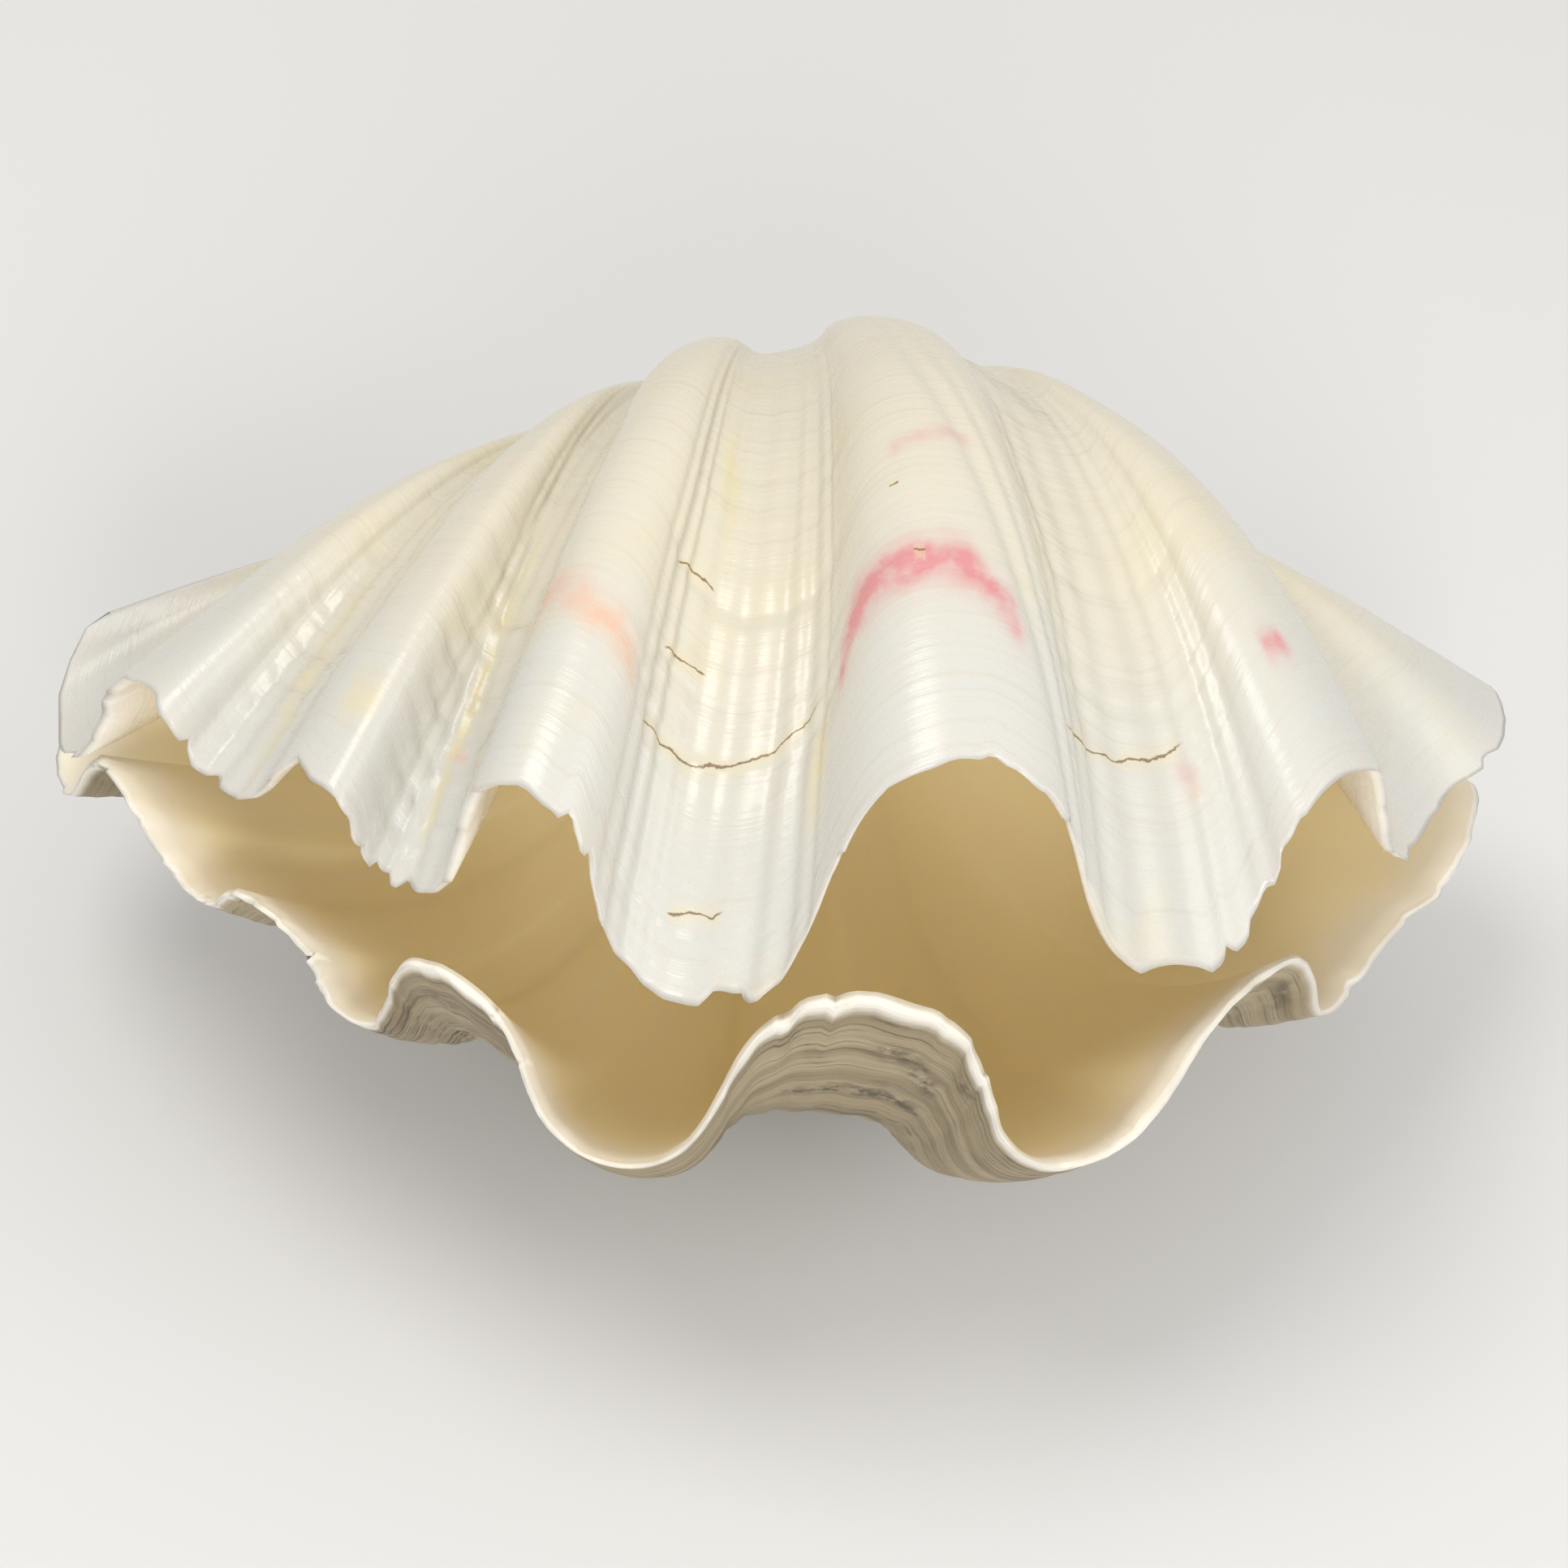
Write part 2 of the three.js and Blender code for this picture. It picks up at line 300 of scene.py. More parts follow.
def crestShare(fold, side):
    # 1 on the ridges of this valve's outside, 0 in its hollows
    return (1 + side * np.cos(np.pi * fold)) / 2


# the same on both valves: row spacing, and where along the growth or the edge each relief fades in
relief = {
    "outerSpread": 1.05, "innerSpread": 1.25, "chipsFrom": 0.9, "chippedFolds": (8.0, 7.2),
    "leftFade": (2.4, 3.4), "rightFade": (15, 16), "wanderFade": (0.1, 0.4),
    "haltWidth": 0.012, "haltFade": (0.25, 0.5), "earlyFade": (0.6, 0.85),
    "ribFade": (0.35, 0.75), "bandFade": (0.3, 0.6), "ridgeFade": (0.35, 0.7),
    "leafPower": 2.5, "leafDrop": 0.93, "leafSoft": 0.3,
    "lipFade": (0.985, 1), "lipEase": 0.6, "insideWander": 0.25,
}


def addHalts(height, fold, growth, part, keep):
    early = part["early"] + (1 - part["early"]) * smooth(growth, *relief["earlyFade"])
    age = smooth(growth, *relief["haltFade"]) * early
    height += ledges(growth, fold, part["halts"], relief["haltWidth"]) * keep * age


def addRibs(height, fold, growth, part):
    for middle, halfWidth in part["ribHollows"]:
        ribs = np.cos(2 * np.pi * (fold - middle) / part["ribSpacing"])
        height += part["ribHeight"] * ribs * hollow(fold, middle, halfWidth) * smooth(
            growth, *relief["ribFade"])


def addBands(height, fold, growth, part, keep, seed):
    bands = growth / part["bandSpacing"] + 0.5 * cloud(fold * 1.5, growth * 10, seed + 4)
    weave = np.cos(2 * np.pi * bands) * (0.5 + 0.5 * cloud(fold * 2, growth * 20, seed + 6))
    height += part["bandHeight"] * weave * keep ** 2 * smooth(growth, *relief["bandFade"])


def addLeaves(height, fold, growth, part, seed):
    for middle, halfWidth, low, high, count, tall in part["leaves"]:
        leaf = (growth - low) / (high - low) * count + 0.35 * cloud(fold * 3, growth * 8, seed + 8)
        step = leaf - np.floor(leaf)
        saw = step ** relief["leafPower"] * (1 - smooth(step, relief["leafDrop"], 1))
        within = smooth(growth, low, low + 0.04) * (1 - smooth(growth, high - 0.01, high))
        height += tall * saw * within * hollow(fold, middle, halfWidth, relief["leafSoft"])


def addRidges(height, fold, growth, part):
    for high, low, width, tall in part["ridges"]:
        place = high + (low - high) * (growth - 0.6) / 0.35
        height += tall * bump(fold, place, width) * smooth(growth, *relief["ridgeFade"])


def outsideHeight(fold, growth, side, part, seed):
    # how far the outside stands off the plain shape, in mm
    keep = 1 - part["crestPolish"] * crestShare(fold, side)
    height = part["wander"] * cloud(fold * 1.3, growth * 9, seed) * smooth(growth, *relief["wanderFade"])
    addHalts(height, fold, growth, part, keep)
    addRibs(height, fold, growth, part)
    addBands(height, fold, growth, part, keep, seed)
    addLeaves(height, fold, growth, part, seed)
    addRidges(height, fold, growth, part)
    folded = smooth(fold, *relief["leftFade"]) * (1 - smooth(fold, *relief["rightFade"]))
    return height * (folded * (1 - smooth(growth, *relief["lipFade"]) * relief["lipEase"]))


def insideWall(fold, growth, side, columns, seed):
    inside = innerSurface(fold, growth, side, wallSteps(columns, side)[None, :])
    soft = relief["insideWander"] * cloud(fold * 1.1, growth * 6, seed + 9) * smooth(growth, 0, 0.3)
    return displaced(inside, soft * smooth(1 - growth, 0, 0.1), side)


def closeUp(points, side):
    # the last column meets the first, each beak is one point, and the worn crests stand on the floor
    if side < 0:
        points[..., 2] = np.maximum(points[..., 2], 0)
    points[:, -1] = points[:, 0]
    points[0] = points[0, 0]
    points[-1] = points[-1, 0]


def valve(name, side, part, seed):
    columns = columnsAround(part["columns"], side)
    outerRows = np.linspace(0, 1, part["outerRows"] + 1)[:, None] ** relief["outerSpread"]
    innerRows = np.linspace(1, 0, part["innerRows"] + 1)[:, None] ** relief["innerSpread"]
    chipped = smooth(np.abs(columns - lastKnot / 2), *relief["chippedFolds"])
    trim = 1 - chips(columns, part["chip"], seed)[None, :] * chipped
    walls = []
    for rows in (outerRows, innerRows):
        grown = rows * (1 - (1 - trim) * smooth(rows, relief["chipsFrom"], 1))
        walls.append(np.broadcast_arrays(columns[None, :], grown))
    (foldOut, growthOut), (foldIn, growthIn) = walls
    height = outsideHeight(foldOut, growthOut, side, part, seed)
    outside = displaced(outerSurface(foldOut, growthOut, side), height, side)
    inside = insideWall(foldIn, growthIn, side, columns, seed)
    points = toWorld(np.concatenate([outside, inside]), side)
    closeUp(points, side)
    u = columns / lastKnot
    v = np.concatenate([outerRows[:, 0] / 2, 1 - innerRows[:, 0] / 2])
    v[part["outerRows"]], v[part["outerRows"] + 1] = lipMap
    layers = marks(np.concatenate([foldOut, foldIn]), np.concatenate([growthOut, growthIn]), side)
    print(name, "columns", len(columns), "rows", len(points))
    return gridPiece(name, points, u, v, layers)


# marks of colour on the shell: a line of (fold, growth) places, half width in growth, strength
stains = {
    "rose": [([(9.55, 0.852), (9.61, 0.842), (9.72, 0.839), (9.93, 0.846), (10.06, 0.853), (10.17, 0.88)],
              0.019, 1.0),
             ([(9.86, 0.732), (10.0, 0.722), (10.12, 0.720)], 0.009, 0.3),
             ([(11.88, 0.878), (11.97, 0.884)], 0.013, 0.9),
             ([(11.08, 0.876), (11.14, 0.884)], 0.010, 0.25)],
    "peach": [([(7.62, 0.841), (7.88, 0.843), (8.09, 0.858), (8.35, 0.868)], 0.015, 0.8),
              ([(11.10, 0.891), (11.14, 0.892)], 0.004, 0.5),
              ([(7.04, 0.891), (7.06, 0.891)], 0.003, 1.0)],
    "yellow": [([(8.75, 0.62), (8.85, 0.66)], 0.035, 0.7), ([(6.9, 0.76), (7.0, 0.9)], 0.06, 0.8),
               ([(5.0, 0.8), (5.2, 0.95)], 0.05, 0.5), ([(5.9, 0.92), (6.1, 0.93)], 0.02, 0.5),
               ([(7.2, 0.9), (7.3, 0.97)], 0.03, 0.6), ([(9.36, 0.89), (9.42, 0.89)], 0.035, 0.7)],
    "dirt": [([(9.85, 0.862), (10.08, 0.874), (10.28, 0.868)], 0.012, 1.0),
             ([(10.09, 0.942), (10.15, 0.937)], 0.010, 0.8), ([(10.20, 0.93), (10.28, 0.916)], 0.014, 0.9),
             ([(10.38, 0.962), (10.44, 0.970)], 0.008, 0.7), ([(7.8, 0.952), (7.95, 0.94)], 0.012, 0.6),
             ([(12.35, 0.955), (12.5, 0.948)], 0.012, 0.6)],
}
stainEnd = 0.03    # folds over which a mark fades out past its ends
stainWobble = 0.35    # share of its width that its edge wanders


def bandMask(fold, growth, spots, width):
    f, g = np.array(spots).T
    line = np.interp(fold, f, g)
    wobble = stainWobble * width * cloud(fold * 14, growth * 60, 21)
    across = np.abs(growth - line + wobble) / width
    ends = np.maximum(0, np.maximum(f[0] - fold, fold - f[-1])) / stainEnd
    return np.exp(-(across ** 2) - ends ** 2)


def marks(fold, growth, side):
    layers = {}
    for name in ("rose", "peach", "yellow") if side > 0 else ("dirt",):
        mask = np.zeros_like(fold)
        for spots, width, strength in stains[name]:
            mask = np.maximum(mask, strength * bandMask(fold, growth, spots, width))
        layers[name] = mask
    return layers


upperValve = valve("upperShell", 1, upper, 11)
lowerValve = valve("lowerShell", -1, lower, 31)
print("valves shaped")

# dried ligament: an oval pad between the two hinge plates, split into fibres round its side
ligament = {
    "columns": 320, "rows": 84, "length": 88, "width": 20, "middle": (-12, -11), "bulge": 1.6,
    "gap": 0.35, "fibres": 74, "fibreDepth": 0.5, "layers": 9, "layerDepth": 0.35,
}


def ligamentPoints(part):
    up = np.array(upperTurn) @ np.array([0, 0, 1])
    shift = shell["shift"]
    around = np.linspace(0, 2 * np.pi, part["columns"] + 1)[None, :]
    path = np.linspace(0, 3, part["rows"] + 1)[:, None]
    radius = np.clip(np.minimum(path, 3 - path), 0, 1) ** 0.8
    level = 1 - np.clip(path - 1, 0, 1)
    radius, level, around = np.broadcast_arrays(radius, level, around)
    side = smooth(radius, 0.9, 1)
    fibre = np.abs(np.sin(around * part["fibres"] / 2 + 1.5 * cloud(around * 6, level * 2, 61)))
    fibre = (1 - fibre) * (0.5 + 0.5 * cloud(around * 9, level * 3, 62))
    layer = 0.5 + 0.5 * np.cos(2 * np.pi * level * part["layers"] + 2 * cloud(around * 5, level, 63))
    cut = side * (part["fibreDepth"] * np.maximum(fibre, 0) + part["layerDepth"] * layer)
    bulge = part["bulge"] * np.sin(np.pi * level) * radius - cut
    x = part["middle"][0] + np.cos(around) * (radius * part["length"] / 2 + bulge)
    y = part["middle"][1] + np.sin(around) * (radius * part["width"] / 2 + bulge)
    roof = shift[2] - ((x - shift[0]) * up[0] + (y - shift[1]) * up[1]) / up[2]
    z = part["gap"] + level * (roof - 2 * part["gap"])
    points = np.stack([x, y, z], -1)
    points[:, -1] = points[:, 0]
    points[0], points[-1] = points[0, 0], points[-1, 0]
    return toWorld(points, -1), cut


padPoints, padCut = ligamentPoints(ligament)
padU = np.linspace(0, 1, ligament["columns"] + 1)
padV = np.linspace(0, 1, ligament["rows"] + 1)
ligamentPad = gridPiece("ligamentPad", padPoints, padU, padV, {"cut": padCut})
print("ligament shaped")

for piece, node in ((upperValve, "upper_valve"), (lowerValve, "lower_valve"),
                    (ligamentPad, "hinge_ligament")):
    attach(piece, "root")
    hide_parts(node)


def colour(red, green, blue):
    parts = [c / 255 for c in (red, green, blue)]
    return tuple(c / 12.92 if c <= 0.04045 else ((c + 0.055) / 1.055) ** 2.4 for c in parts) + (1,)


def newMaterial(name):
    material = bpy.data.materials.new(name)
    material.use_nodes = True
    tree = material.node_tree
    return material, tree, tree.nodes["Principled BSDF"]


def plug(tree, socket, value):
    if isinstance(value, bpy.types.NodeSocket):
        tree.links.new(value, socket)
    else:
        socket.default_value = value


def sums(tree, operation, a, b=0.0, clamp=False):
    node = tree.nodes.new("ShaderNodeMath")
    node.operation = operation
    node.use_clamp = clamp
    plug(tree, node.inputs[0], a)
    plug(tree, node.inputs[1], b)
    return node.outputs[0]


def between(tree, value, low, high):
    node = tree.nodes.new("ShaderNodeMapRange")
    node.interpolation_type = "SMOOTHSTEP"
    plug(tree, node.inputs["Value"], value)
    node.inputs["From Min"].default_value = low
    node.inputs["From Max"].default_value = high
    return node.outputs[0]


def mixed(tree, share, a, b):
    node = tree.nodes.new("ShaderNodeMix")
    node.data_type = "RGBA"
    plug(tree, node.inputs[0], share)
    plug(tree, node.inputs[6], a)
    plug(tree, node.inputs[7], b)
    return node.outputs[2]


def layerValue(tree, name):
    node = tree.nodes.new("ShaderNodeAttribute")
    node.attribute_name = name
    return node.outputs["Fac"]


def noiseValue(tree, where, scale, detail=4, rough=0.55):
    node = tree.nodes.new("ShaderNodeTexNoise")
    tree.links.new(where, node.inputs["Vector"])
    node.inputs["Scale"].default_value = scale
    node.inputs["Detail"].default_value = detail
    node.inputs["Roughness"].default_value = rough
    return node.outputs[0]


def shellMap(tree):
    node = tree.nodes.new("ShaderNodeUVMap")
    node.uv_map = "shellMap"
    return node.outputs[0]


def growthPlace(tree, across, along):
    # the piece's own map, stretched so that noise runs in lines along the growth rings or the ribs
    scale = tree.nodes.new("ShaderNodeVectorMath")
    scale.operation = "MULTIPLY"
    tree.links.new(shellMap(tree), scale.inputs[0])
    scale.inputs[1].default_value = (across, along, 1)
    return scale.outputs[0]


def mapParts(tree):
    # how far round the edge, and how far from beak over the lip and back inside
    apart = tree.nodes.new("ShaderNodeSeparateXYZ")
    tree.links.new(shellMap(tree), apart.inputs[0])
    return apart.outputs[0], apart.outputs[1]


# hairline cracks along the growth lines: fold, growth there, slope, curve, half length in folds
cracks = {
    "places": [(8.95, 0.852, -0.033, 0.0, 0.43), (10.79, 0.872, -0.07, 0.10, 0.36),
               (8.70, 0.737, -0.036, 0.2, 0.14), (8.73, 0.799, -0.05, 0.2, 0.14),
               (8.97, 0.944, -0.02, 0.3, 0.10), (9.84, 0.767, -0.03, 0.0, 0.02),
               (9.91, 0.836, 0.10, 0.0, 0.02), (7.30, 0.93, 0.02, 0.0, 0.12)],
    "shakeScale": 260, "shake": 0.012, "line": (0.0003, 0.0013), "edge": (0.001, 0.010), "fullLength": 0.8,
}


def crackMasks(tree):
    # a thin dark line and a wider pale edge round it
    around, along = mapParts(tree)
    fold = sums(tree, "MULTIPLY", around, lastKnot)
    shake = sums(tree, "SUBTRACT", noiseValue(tree, objectPlace(tree), cracks["shakeScale"]), 0.5)
    growth = sums(tree, "ADD", sums(tree, "MULTIPLY", along, 2),
                  sums(tree, "MULTIPLY", shake, cracks["shake"]))
    line, edge = 0.0, 0.0
    for place, height, slope, curve, half in cracks["places"]:
        off = sums(tree, "SUBTRACT", fold, place)
        rise = sums(tree, "MULTIPLY", off, sums(tree, "ADD", sums(tree, "MULTIPLY", off, curve), slope))
        gap = sums(tree, "ABSOLUTE", sums(tree, "SUBTRACT", sums(tree, "SUBTRACT", growth, height), rise))
        past = between(tree, sums(tree, "ABSOLUTE", off), half * cracks["fullLength"], half)
        within = sums(tree, "SUBTRACT", 1, past)
        thin = sums(tree, "SUBTRACT", 1, between(tree, gap, *cracks["line"]))
        wide = sums(tree, "SUBTRACT", 1, between(tree, gap, *cracks["edge"]))
        line = sums(tree, "MAXIMUM", sums(tree, "MULTIPLY", thin, within), line)
        edge = sums(tree, "MAXIMUM", sums(tree, "MULTIPLY", wide, within), edge)
    return line, edge


def objectPlace(tree):
    return tree.nodes.new("ShaderNodeTexCoord").outputs["Object"]


def shaded(tree, share, amount, base, look):
    return mixed(tree, sums(tree, "MULTIPLY", share, amount), base, look)


def bumped(tree, height, strength, distance, before=None):
    node = tree.nodes.new("ShaderNodeBump")
    node.inputs["Strength"].default_value = strength
    node.inputs["Distance"].default_value = distance
    tree.links.new(height, node.inputs["Height"])
    if before is not None:
        tree.links.new(before, node.inputs["Normal"])
    return node.outputs[0]


insideLooks = {"rim": colour(244, 238, 224), "middle": colour(244, 232, 202),
               "deep": colour(242, 223, 180), "cloud": colour(243, 227, 190)}
# the lower valve's inside repeats the inside ramp, lighter than the upper valve's inside and most of all deep
# in the bowl: a real cream tint with painted light on it
litBowlLooks = {"rim": colour(242, 234, 216), "middle": colour(247, 232, 190),
             "deep": colour(252, 234, 184), "cloud": colour(249, 231, 188)}
# depths are how far past the lip on the map
insidePattern = {"patchScale": 16, "patchShift": 0.03, "middleDepth": (0.004, 0.05),
                 "deepDepth": (0.03, 0.16), "streaks": (160, 5), "streakRange": (0.5, 0.75), "streaky": 0.28,
                 "cloudScale": 55, "cloudRange": (0.35, 0.75), "cloudy": 0.22}


def insideColour(tree, looks):
    # tan-gold deep inside, paler toward the free edge, with faint streaks down the folds
    pattern = insidePattern
    depth = sums(tree, "SUBTRACT", mapParts(tree)[1], 0.5)
    patches = sums(tree, "SUBTRACT", noiseValue(tree, objectPlace(tree), pattern["patchScale"], 3), 0.5)
    depth = sums(tree, "ADD", depth, sums(tree, "MULTIPLY", patches, pattern["patchShift"]))
    base = mixed(tree, between(tree, depth, *pattern["middleDepth"]), looks["rim"], looks["middle"])
    base = mixed(tree, between(tree, depth, *pattern["deepDepth"]), base, looks["deep"])
    streaks = noiseValue(tree, growthPlace(tree, *pattern["streaks"]), 1, 3)
    base = shaded(tree, between(tree, streaks, *pattern["streakRange"]), pattern["streaky"], base,
                  looks["rim"])
    clouds = between(tree, noiseValue(tree, objectPlace(tree), pattern["cloudScale"]), *pattern["cloudRange"])
    return shaded(tree, clouds, pattern["cloudy"], base, looks["cloud"])


def setGlow(shader, looks):
    # a little light passes into the shell
    shader.inputs["Subsurface Weight"].default_value = looks["glow"]
    shader.inputs["Subsurface Scale"].default_value = looks["glowDepth"]


# bumps are strength and height in metres
upperLooks = {
    "warm": colour(214, 207, 187), "cool": colour(205, 203, 195), "cream": colour(216, 204, 164),
    "rose": colour(210, 142, 142), "peach": colour(219, 184, 160), "crack": colour(120, 88, 52),
    "line": colour(200, 191, 172), "driftScale": 18, "drift": 0.08, "coolRange": (0.40, 0.52),
    "spotScale": 42, "spotRange": (0.52, 0.75), "spots": 0.35, "rings": (14, 330),
    "lineRange": (0.52, 0.72), "lines": 0.4, "grainScale": 260, "grainRange": (0.2, 0.8),
    "leastStain": 0.45, "halo": 0.4, "cracks": 0.85, "roughness": 0.19, "grainRoughness": 0.16,
    "ringBump": (0.25, 0.0006), "poreScale": 900, "poreBump": (0.12, 0.0003), "crackBump": (-0.6, 0.0004),
    "glow": 0.15, "glowDepth": 0.003,
}


def upperMaterial():
    looks = upperLooks
    material, tree, shader = newMaterial("upper_valve")
    along = mapParts(tree)[1]
    drift = noiseValue(tree, objectPlace(tree), looks["driftScale"], 3)
    drifted = sums(tree, "ADD", along, sums(tree, "MULTIPLY", drift, looks["drift"]))
    cooler = between(tree, drifted, *looks["coolRange"])
    base = mixed(tree, cooler, looks["warm"], looks["cool"])
    spots = between(tree, noiseValue(tree, objectPlace(tree), looks["spotScale"], 5), *looks["spotRange"])
    base = shaded(tree, spots, looks["spots"], base, looks["cream"])
    rings = noiseValue(tree, growthPlace(tree, *looks["rings"]), 1, 4, 0.6)
    base = shaded(tree, between(tree, rings, *looks["lineRange"]), looks["lines"], base, looks["line"])
    grain = between(tree, noiseValue(tree, objectPlace(tree), looks["grainScale"]), *looks["grainRange"])
    for layer, look in (("yellow", "cream"), ("peach", "peach"), ("rose", "rose")):
        grainy = sums(tree, "ADD", grain, looks["leastStain"])
        share = sums(tree, "MULTIPLY", layerValue(tree, layer), grainy, True)
        base = mixed(tree, share, base, looks[look])
    crack, edge = crackMasks(tree)
    base = shaded(tree, edge, looks["halo"], base, looks["cream"])
    base = shaded(tree, crack, looks["cracks"], base, looks["crack"])
    base = mixed(tree, between(tree, along, *lipMap), base, insideColour(tree, insideLooks))
    plug(tree, shader.inputs["Base Color"], base)
    rough = sums(tree, "MULTIPLY", grain, looks["grainRoughness"])
    plug(tree, shader.inputs["Roughness"], sums(tree, "ADD", rough, looks["roughness"]))
    normal = bumped(tree, rings, *looks["ringBump"])
    pores = noiseValue(tree, objectPlace(tree), looks["poreScale"], 3)
    normal = bumped(tree, pores, *looks["poreBump"], normal)
    normal = bumped(tree, crack, *looks["crackBump"], normal)
    plug(tree, shader.inputs["Normal"], normal)
    setGlow(shader, looks)
    return material


# the outside's body and pale tones are a dark greyish beige: partly real grime, partly painted shade
lowerLooks = {
    "body": colour(150, 134, 104), "pale": colour(180, 164, 132), "line": colour(104, 90, 64),
    "dirt": colour(66, 56, 36), "lip": colour(240, 234, 222), "rings": (22, 420), "broad": (8, 90),
    "broadRange": (0.35, 0.7), "lineRange": (0.52, 0.66), "lines": 0.75, "dirtScale": 30,
    "dirtRange": (0.50, 0.64), "dirtRings": (0.42, 0.62), "dirty": 0.85, "speckleScale": 330,
    "speckleRange": (0.42, 0.56), "stained": 0.9, "rimBand": (0.492, 0.4985),
    "roughness": 0.5, "insidePolish": 0.16, "ringBump": (0.7, 0.0012),
    "poreScale": 700, "poreBump": (0.12, 0.0003), "glow": 0.1, "glowDepth": 0.003,
}


def lowerMaterial():
    looks = lowerLooks
    material, tree, shader = newMaterial("lower_valve")
    along = mapParts(tree)[1]
    rings = noiseValue(tree, growthPlace(tree, *looks["rings"]), 1, 5, 0.65)
    broad = noiseValue(tree, growthPlace(tree, *looks["broad"]), 1, 3)
    # dark greyish beige outside: partly real grime, partly painted shade
    base = mixed(tree, between(tree, broad, *looks["broadRange"]), looks["body"], looks["pale"])
    base = shaded(tree, between(tree, rings, *looks["lineRange"]), looks["lines"], base, looks["line"])
    patches = noiseValue(tree, objectPlace(tree), looks["dirtScale"], 6, 0.68)
    patches = between(tree, patches, *looks["dirtRange"])
    dirt = sums(tree, "MULTIPLY", patches, between(tree, rings, *looks["dirtRings"]))
    base = shaded(tree, dirt, looks["dirty"], base, looks["dirt"])
    speckle = noiseValue(tree, objectPlace(tree), looks["speckleScale"], 5, 0.7)
    speckle = between(tree, speckle, *looks["speckleRange"])
    stained = sums(tree, "MULTIPLY", layerValue(tree, "dirt"), speckle)
    base = shaded(tree, stained, looks["stained"], base, looks["dirt"])
    base = mixed(tree, between(tree, along, *looks["rimBand"]), base, looks["lip"])
    inside = between(tree, along, *lipMap)
    # the bowl's inside colours carry painted light: lighter than the upper valve's inside, most of all deep
    # down
    base = mixed(tree, inside, base, insideColour(tree, litBowlLooks))
    plug(tree, shader.inputs["Base Color"], base)
    polish = sums(tree, "MULTIPLY", inside, looks["insidePolish"])
    plug(tree, shader.inputs["Roughness"], sums(tree, "SUBTRACT", looks["roughness"], polish))
    outside = sums(tree, "SUBTRACT", 1, inside)
    normal = bumped(tree, sums(tree, "MULTIPLY", rings, outside), *looks["ringBump"])
    pores = noiseValue(tree, objectPlace(tree), looks["poreScale"], 3)
    normal = bumped(tree, pores, *looks["poreBump"], normal)
    plug(tree, shader.inputs["Normal"], normal)
    setGlow(shader, looks)
    return material


ligamentLooks = {
    "dark": colour(34, 23, 16), "brown": colour(78, 52, 33), "dry": colour(128, 96, 64),
    "fibres": (190, 7), "fibreRange": (0.35, 0.65), "patchScale": 70, "patchRange": (0.5, 0.72),
    "dryFibres": (0.45, 0.7), "splitRange": (0.1, 0.6), "splitShade": 0.6,
    "roughness": 0.47, "patchRoughness": 0.3, "fibreBump": (0.6, 0.0006),
    "grainScale": 600, "grainBump": (0.3, 0.0004),
}


def ligamentMaterial():
    looks = ligamentLooks
    material, tree, shader = newMaterial("hinge_ligament")
    fibres = noiseValue(tree, growthPlace(tree, *looks["fibres"]), 1, 5, 0.6)
    patches = noiseValue(tree, objectPlace(tree), looks["patchScale"])
    base = mixed(tree, between(tree, fibres, *looks["fibreRange"]), looks["dark"], looks["brown"])
    dry = sums(tree, "MULTIPLY", between(tree, patches, *looks["patchRange"]),
               between(tree, fibres, *looks["dryFibres"]))
    base = mixed(tree, dry, base, looks["dry"])
    # darker in the fibre splits and layer grooves, the deeper they are cut: painted shade
    split = between(tree, layerValue(tree, "cut"), *looks["splitRange"])
    base = shaded(tree, split, looks["splitShade"], base, looks["dark"])
    plug(tree, shader.inputs["Base Color"], base)
    rough = sums(tree, "MULTIPLY", patches, looks["patchRoughness"])
    plug(tree, shader.inputs["Roughness"], sums(tree, "ADD", rough, looks["roughness"]))
    normal = bumped(tree, fibres, *looks["fibreBump"])
    grain = noiseValue(tree, objectPlace(tree), looks["grainScale"])
    normal = bumped(tree, grain, *looks["grainBump"], normal)
    plug(tree, shader.inputs["Normal"], normal)
    return material


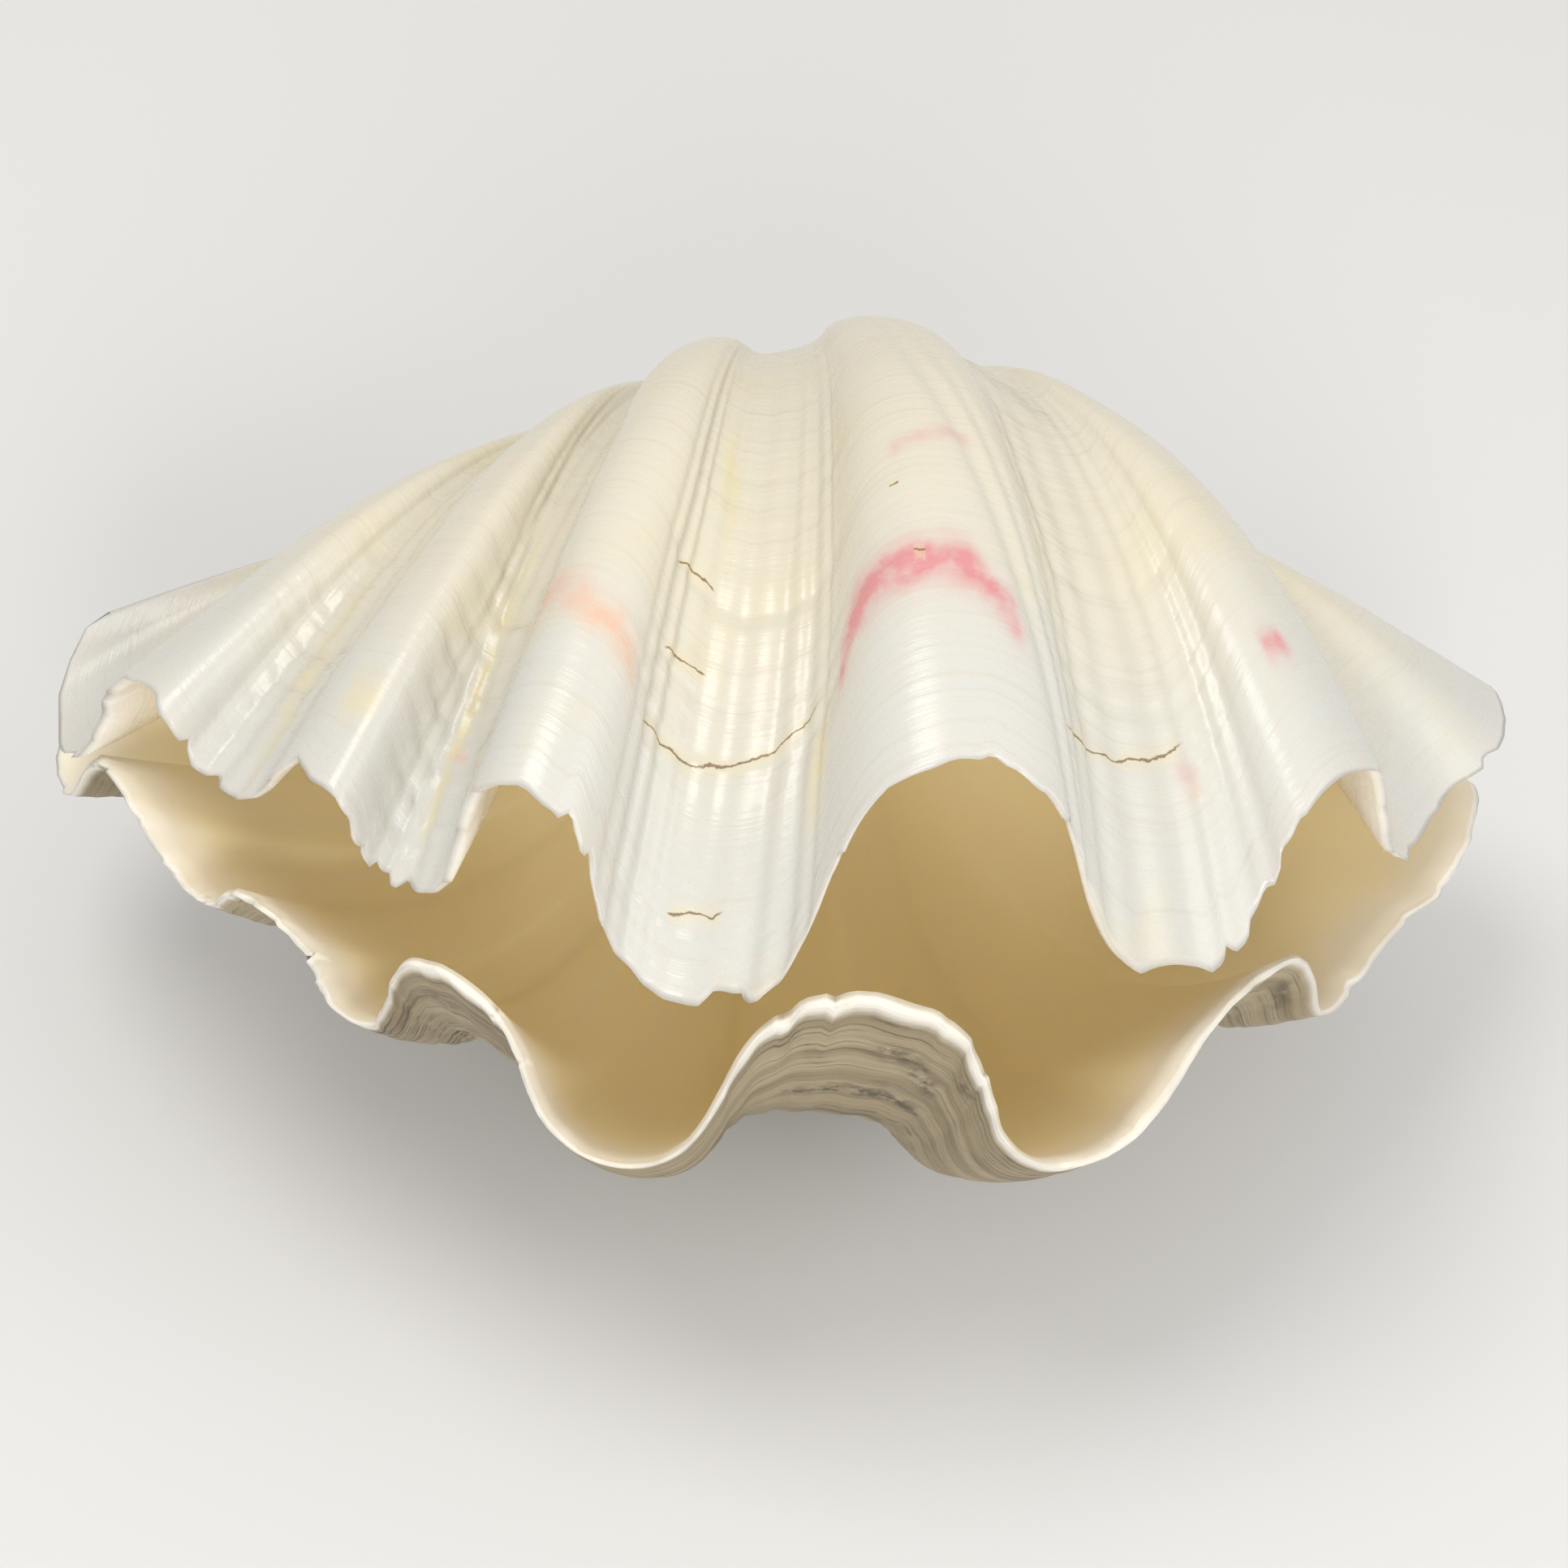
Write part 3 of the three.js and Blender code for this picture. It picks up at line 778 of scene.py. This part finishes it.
ligamentPad.data.materials.append(ligamentMaterial())
upperValve.data.materials.append(upperMaterial())
lowerValve.data.materials.append(lowerMaterial())
print("shell materials made")

# lights: name, place, height looked at, width, power, tint
studio = {
    "floorSize": 8, "floor": colour(214, 213, 211), "floorRoughness": 0.8, "world": 0.72,
    "lights": [("keyLight", (-0.3, 0.05, 1.05), 0.07, 0.5, 3.9, (1, 0.98, 0.95)),
               ("fillLight", (0.8, -0.3, 0.75), 0.07, 0.8, 2.5, (1, 1, 1)),
               ("frontLight", (0.05, -0.85, 0.6), 0.06, 0.4, 3.3, (1, 1, 1))],
}

bpy.ops.object.select_all(action="DESELECT")
bpy.ops.mesh.primitive_plane_add(size=studio["floorSize"], location=(0, 0, 0))
floor = bpy.context.object
floor.name = "studioFloor"
floorMaterial, floorTree, floorShader = newMaterial("studioFloor")
floorShader.inputs["Base Color"].default_value = studio["floor"]
floorShader.inputs["Roughness"].default_value = studio["floorRoughness"]
floor.data.materials.append(floorMaterial)


def softLight(name, place, aimHeight, width, power, tint):
    data = bpy.data.lights.new(name, "AREA")
    data.shape = "DISK"
    data.size = width
    data.energy = power
    data.color = tint
    light = bpy.data.objects.new(name, data)
    bpy.context.collection.objects.link(light)
    light.location = place
    aim = Vector((0, 0, aimHeight)) - Vector(place)
    light.rotation_euler = aim.to_track_quat("-Z", "Y").to_euler()


for light in studio["lights"]:
    softLight(*light)
bpy.context.scene.view_settings.view_transform = "Standard"
world = bpy.data.worlds.new("studio")
bpy.context.scene.world = world
world.use_nodes = True
background = world.node_tree.nodes["Background"]
background.inputs["Color"].default_value = (1, 1, 1, 1)
background.inputs["Strength"].default_value = studio["world"]

camera = {"place": (-0.0287, -0.3418, 0.5088), "turn": (37.58, -3.94, 0.33), "angle": 26.4}
cameraData = bpy.data.cameras.new("camera")
cameraData.angle = math.radians(camera["angle"])
cameraObject = bpy.data.objects.new("camera", cameraData)
bpy.context.collection.objects.link(cameraObject)
cameraObject.location = camera["place"]
cameraObject.rotation_euler = [math.radians(a) for a in camera["turn"]]
bpy.context.scene.camera = cameraObject
print("studio ready")
